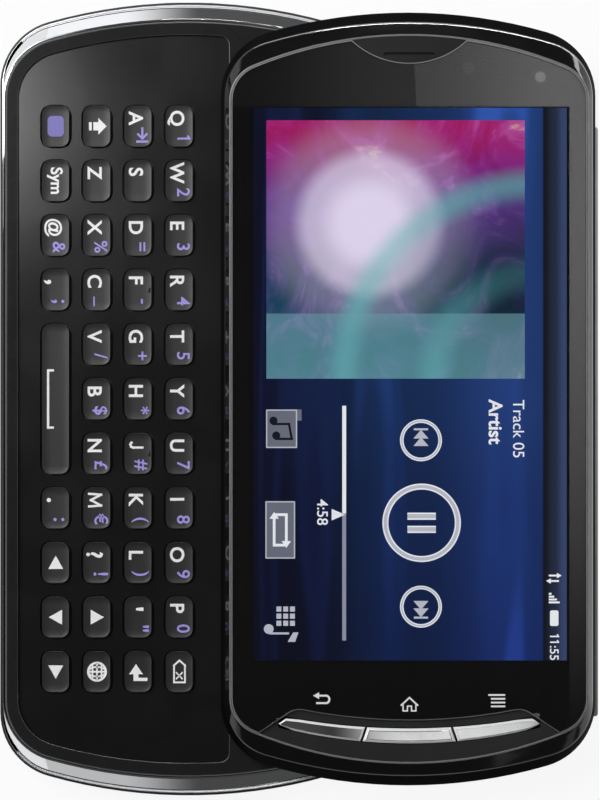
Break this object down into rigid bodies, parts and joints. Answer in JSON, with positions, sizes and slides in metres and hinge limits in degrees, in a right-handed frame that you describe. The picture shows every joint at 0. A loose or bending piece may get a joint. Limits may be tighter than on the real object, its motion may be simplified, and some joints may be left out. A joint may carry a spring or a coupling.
{
  "type": "slider phone",
  "caption": "Landscape slider phone, slid open: a touch display half rides sideways on a keyboard half with a full letter keyboard.",
  "frame": {"origin": "centre of the flat back of the keyboard half, on the surface it lies on", "axes": "+X is the way the display half slides open, +Y points at the earpiece end, +Z points out of the screen"},
  "size_m": [0.09, 0.1202, 0.0135],
  "materials": {
    "back_cover": "soft matt black moulded plastic",
    "trim_band": "bright plated band",
    "keyboard_frame": "satin black moulding with a gloss rim",
    "key_mat": "matt black silicone",
    "battery": "wrapped flat cell",
    "circuit_board": "solder-resist green with metal cans",
    "camera_window": "polished black window",
    "display_housing": "piano black gloss",
    "front_glass": "black-backed cover glass",
    "display_panel": "lit display behind the glass",
    "earpiece_cover": "dark satin",
    "slide_steel": "brushed spring steel",
    "front_key": "polished plated keys",
    "side_key": "gloss black",
    "keyboard_key": "lacquered dark key with printed legend"
  },
  "bodies": {
    "keyboard_half": {"battery_cover": "back_cover", "chrome_band": "trim_band", "keyboard_frame": "keyboard_frame", "key_mat": "key_mat", "battery": "battery", "main_board": "circuit_board", "rear_camera": "camera_window"},
    "display_half": {"display_housing": "display_housing", "front_glass": "front_glass", "display_panel": "display_panel", "earpiece_grille": "earpiece_cover", "slide_rails": "slide_steel"},
    "back_key": {"back_key": "front_key"},
    "home_key": {"home_key": "front_key"},
    "menu_key": {"menu_key": "front_key"},
    "volume_rocker": {"volume_rocker": "side_key"},
    "camera_key": {"camera_key": "side_key"},
    "power_key": {"power_key": "side_key"},
    "key_a01": {"key_a01": "keyboard_key"},
    "key_a02": {"key_a02": "keyboard_key"},
    "key_a03": {"key_a03": "keyboard_key"},
    "key_a04": {"key_a04": "keyboard_key"},
    "key_a05": {"key_a05": "keyboard_key"},
    "key_a06": {"key_a06": "keyboard_key"},
    "key_a07": {"key_a07": "keyboard_key"},
    "key_a08": {"key_a08": "keyboard_key"},
    "key_a09": {"key_a09": "keyboard_key"},
    "key_a10": {"key_a10": "keyboard_key"},
    "key_a11": {"key_a11": "keyboard_key"},
    "key_b01": {"key_b01": "keyboard_key"},
    "key_b02": {"key_b02": "keyboard_key"},
    "key_b03": {"key_b03": "keyboard_key"},
    "key_b04": {"key_b04": "keyboard_key"},
    "key_b05": {"key_b05": "keyboard_key"},
    "key_b06": {"key_b06": "keyboard_key"},
    "key_b07": {"key_b07": "keyboard_key"},
    "key_b08": {"key_b08": "keyboard_key"},
    "key_b09": {"key_b09": "keyboard_key"},
    "key_b10": {"key_b10": "keyboard_key"},
    "key_b11": {"key_b11": "keyboard_key"},
    "key_c01": {"key_c01": "keyboard_key"},
    "key_c02": {"key_c02": "keyboard_key"},
    "key_c03": {"key_c03": "keyboard_key"},
    "key_c04": {"key_c04": "keyboard_key"},
    "key_c05": {"key_c05": "keyboard_key"},
    "key_c06": {"key_c06": "keyboard_key"},
    "key_c07": {"key_c07": "keyboard_key"},
    "key_c08": {"key_c08": "keyboard_key"},
    "key_c09": {"key_c09": "keyboard_key"},
    "key_c10": {"key_c10": "keyboard_key"},
    "key_c11": {"key_c11": "keyboard_key"},
    "key_d01": {"key_d01": "keyboard_key"},
    "key_d02": {"key_d02": "keyboard_key"},
    "key_d03": {"key_d03": "keyboard_key"},
    "key_d04": {"key_d04": "keyboard_key"},
    "key_d08": {"key_d08": "keyboard_key"},
    "key_d09": {"key_d09": "keyboard_key"},
    "key_d10": {"key_d10": "keyboard_key"},
    "key_d11": {"key_d11": "keyboard_key"},
    "key_space": {"key_space": "keyboard_key"}
  },
  "joints": [
    {"name": "display_slide", "type": "slide", "parent": "keyboard_half", "child": "display_half", "axis": [-1, 0, 0], "range_m": [0, 0.033]},
    {"name": "back_key_press", "type": "slide", "parent": "display_half", "child": "back_key", "axis": [0, 0, -1], "range_m": [0, 0.00025], "stiffness_N_per_m": 200},
    {"name": "home_key_press", "type": "slide", "parent": "display_half", "child": "home_key", "axis": [0, 0, -1], "range_m": [0, 0.00025], "stiffness_N_per_m": 200},
    {"name": "menu_key_press", "type": "slide", "parent": "display_half", "child": "menu_key", "axis": [0, 0, -1], "range_m": [0, 0.00025], "stiffness_N_per_m": 200},
    {"name": "volume_rock", "type": "hinge", "parent": "keyboard_half", "child": "volume_rocker", "pos_m": [0.027, 0.018, 0.0028], "axis": [0, 0, 1], "range_deg": [-1.5, 1.5], "stiffness_Nm_per_rad": 0.02},
    {"name": "camera_press", "type": "slide", "parent": "keyboard_half", "child": "camera_key", "axis": [-1, 0, 0], "range_m": [0, 0.0003], "stiffness_N_per_m": 200},
    {"name": "power_press", "type": "slide", "parent": "keyboard_half", "child": "power_key", "axis": [0, -1, 0], "range_m": [0, 0.0003], "stiffness_N_per_m": 200},
    {"name": "key_a01_press", "type": "slide", "parent": "keyboard_half", "child": "key_a01", "axis": [0, 0, -1], "range_m": [0, 0.0003], "stiffness_N_per_m": 100},
    {"name": "key_a02_press", "type": "slide", "parent": "keyboard_half", "child": "key_a02", "axis": [0, 0, -1], "range_m": [0, 0.0003], "stiffness_N_per_m": 100},
    {"name": "key_a03_press", "type": "slide", "parent": "keyboard_half", "child": "key_a03", "axis": [0, 0, -1], "range_m": [0, 0.0003], "stiffness_N_per_m": 100},
    {"name": "key_a04_press", "type": "slide", "parent": "keyboard_half", "child": "key_a04", "axis": [0, 0, -1], "range_m": [0, 0.0003], "stiffness_N_per_m": 100},
    {"name": "key_a05_press", "type": "slide", "parent": "keyboard_half", "child": "key_a05", "axis": [0, 0, -1], "range_m": [0, 0.0003], "stiffness_N_per_m": 100},
    {"name": "key_a06_press", "type": "slide", "parent": "keyboard_half", "child": "key_a06", "axis": [0, 0, -1], "range_m": [0, 0.0003], "stiffness_N_per_m": 100},
    {"name": "key_a07_press", "type": "slide", "parent": "keyboard_half", "child": "key_a07", "axis": [0, 0, -1], "range_m": [0, 0.0003], "stiffness_N_per_m": 100},
    {"name": "key_a08_press", "type": "slide", "parent": "keyboard_half", "child": "key_a08", "axis": [0, 0, -1], "range_m": [0, 0.0003], "stiffness_N_per_m": 100},
    {"name": "key_a09_press", "type": "slide", "parent": "keyboard_half", "child": "key_a09", "axis": [0, 0, -1], "range_m": [0, 0.0003], "stiffness_N_per_m": 100},
    {"name": "key_a10_press", "type": "slide", "parent": "keyboard_half", "child": "key_a10", "axis": [0, 0, -1], "range_m": [0, 0.0003], "stiffness_N_per_m": 100},
    {"name": "key_a11_press", "type": "slide", "parent": "keyboard_half", "child": "key_a11", "axis": [0, 0, -1], "range_m": [0, 0.0003], "stiffness_N_per_m": 100},
    {"name": "key_b01_press", "type": "slide", "parent": "keyboard_half", "child": "key_b01", "axis": [0, 0, -1], "range_m": [0, 0.0003], "stiffness_N_per_m": 100},
    {"name": "key_b02_press", "type": "slide", "parent": "keyboard_half", "child": "key_b02", "axis": [0, 0, -1], "range_m": [0, 0.0003], "stiffness_N_per_m": 100},
    {"name": "key_b03_press", "type": "slide", "parent": "keyboard_half", "child": "key_b03", "axis": [0, 0, -1], "range_m": [0, 0.0003], "stiffness_N_per_m": 100},
    {"name": "key_b04_press", "type": "slide", "parent": "keyboard_half", "child": "key_b04", "axis": [0, 0, -1], "range_m": [0, 0.0003], "stiffness_N_per_m": 100},
    {"name": "key_b05_press", "type": "slide", "parent": "keyboard_half", "child": "key_b05", "axis": [0, 0, -1], "range_m": [0, 0.0003], "stiffness_N_per_m": 100},
    {"name": "key_b06_press", "type": "slide", "parent": "keyboard_half", "child": "key_b06", "axis": [0, 0, -1], "range_m": [0, 0.0003], "stiffness_N_per_m": 100},
    {"name": "key_b07_press", "type": "slide", "parent": "keyboard_half", "child": "key_b07", "axis": [0, 0, -1], "range_m": [0, 0.0003], "stiffness_N_per_m": 100},
    {"name": "key_b08_press", "type": "slide", "parent": "keyboard_half", "child": "key_b08", "axis": [0, 0, -1], "range_m": [0, 0.0003], "stiffness_N_per_m": 100},
    {"name": "key_b09_press", "type": "slide", "parent": "keyboard_half", "child": "key_b09", "axis": [0, 0, -1], "range_m": [0, 0.0003], "stiffness_N_per_m": 100},
    {"name": "key_b10_press", "type": "slide", "parent": "keyboard_half", "child": "key_b10", "axis": [0, 0, -1], "range_m": [0, 0.0003], "stiffness_N_per_m": 100},
    {"name": "key_b11_press", "type": "slide", "parent": "keyboard_half", "child": "key_b11", "axis": [0, 0, -1], "range_m": [0, 0.0003], "stiffness_N_per_m": 100},
    {"name": "key_c01_press", "type": "slide", "parent": "keyboard_half", "child": "key_c01", "axis": [0, 0, -1], "range_m": [0, 0.0003], "stiffness_N_per_m": 100},
    {"name": "key_c02_press", "type": "slide", "parent": "keyboard_half", "child": "key_c02", "axis": [0, 0, -1], "range_m": [0, 0.0003], "stiffness_N_per_m": 100},
    {"name": "key_c03_press", "type": "slide", "parent": "keyboard_half", "child": "key_c03", "axis": [0, 0, -1], "range_m": [0, 0.0003], "stiffness_N_per_m": 100},
    {"name": "key_c04_press", "type": "slide", "parent": "keyboard_half", "child": "key_c04", "axis": [0, 0, -1], "range_m": [0, 0.0003], "stiffness_N_per_m": 100},
    {"name": "key_c05_press", "type": "slide", "parent": "keyboard_half", "child": "key_c05", "axis": [0, 0, -1], "range_m": [0, 0.0003], "stiffness_N_per_m": 100},
    {"name": "key_c06_press", "type": "slide", "parent": "keyboard_half", "child": "key_c06", "axis": [0, 0, -1], "range_m": [0, 0.0003], "stiffness_N_per_m": 100},
    {"name": "key_c07_press", "type": "slide", "parent": "keyboard_half", "child": "key_c07", "axis": [0, 0, -1], "range_m": [0, 0.0003], "stiffness_N_per_m": 100},
    {"name": "key_c08_press", "type": "slide", "parent": "keyboard_half", "child": "key_c08", "axis": [0, 0, -1], "range_m": [0, 0.0003], "stiffness_N_per_m": 100},
    {"name": "key_c09_press", "type": "slide", "parent": "keyboard_half", "child": "key_c09", "axis": [0, 0, -1], "range_m": [0, 0.0003], "stiffness_N_per_m": 100},
    {"name": "key_c10_press", "type": "slide", "parent": "keyboard_half", "child": "key_c10", "axis": [0, 0, -1], "range_m": [0, 0.0003], "stiffness_N_per_m": 100},
    {"name": "key_c11_press", "type": "slide", "parent": "keyboard_half", "child": "key_c11", "axis": [0, 0, -1], "range_m": [0, 0.0003], "stiffness_N_per_m": 100},
    {"name": "key_d01_press", "type": "slide", "parent": "keyboard_half", "child": "key_d01", "axis": [0, 0, -1], "range_m": [0, 0.0003], "stiffness_N_per_m": 100},
    {"name": "key_d02_press", "type": "slide", "parent": "keyboard_half", "child": "key_d02", "axis": [0, 0, -1], "range_m": [0, 0.0003], "stiffness_N_per_m": 100},
    {"name": "key_d03_press", "type": "slide", "parent": "keyboard_half", "child": "key_d03", "axis": [0, 0, -1], "range_m": [0, 0.0003], "stiffness_N_per_m": 100},
    {"name": "key_d04_press", "type": "slide", "parent": "keyboard_half", "child": "key_d04", "axis": [0, 0, -1], "range_m": [0, 0.0003], "stiffness_N_per_m": 100},
    {"name": "key_d08_press", "type": "slide", "parent": "keyboard_half", "child": "key_d08", "axis": [0, 0, -1], "range_m": [0, 0.0003], "stiffness_N_per_m": 100},
    {"name": "key_d09_press", "type": "slide", "parent": "keyboard_half", "child": "key_d09", "axis": [0, 0, -1], "range_m": [0, 0.0003], "stiffness_N_per_m": 100},
    {"name": "key_d10_press", "type": "slide", "parent": "keyboard_half", "child": "key_d10", "axis": [0, 0, -1], "range_m": [0, 0.0003], "stiffness_N_per_m": 100},
    {"name": "key_d11_press", "type": "slide", "parent": "keyboard_half", "child": "key_d11", "axis": [0, 0, -1], "range_m": [0, 0.0003], "stiffness_N_per_m": 100},
    {"name": "key_space_press", "type": "slide", "parent": "keyboard_half", "child": "key_space", "axis": [0, 0, -1], "range_m": [0, 0.0003], "stiffness_N_per_m": 100}
  ]
}
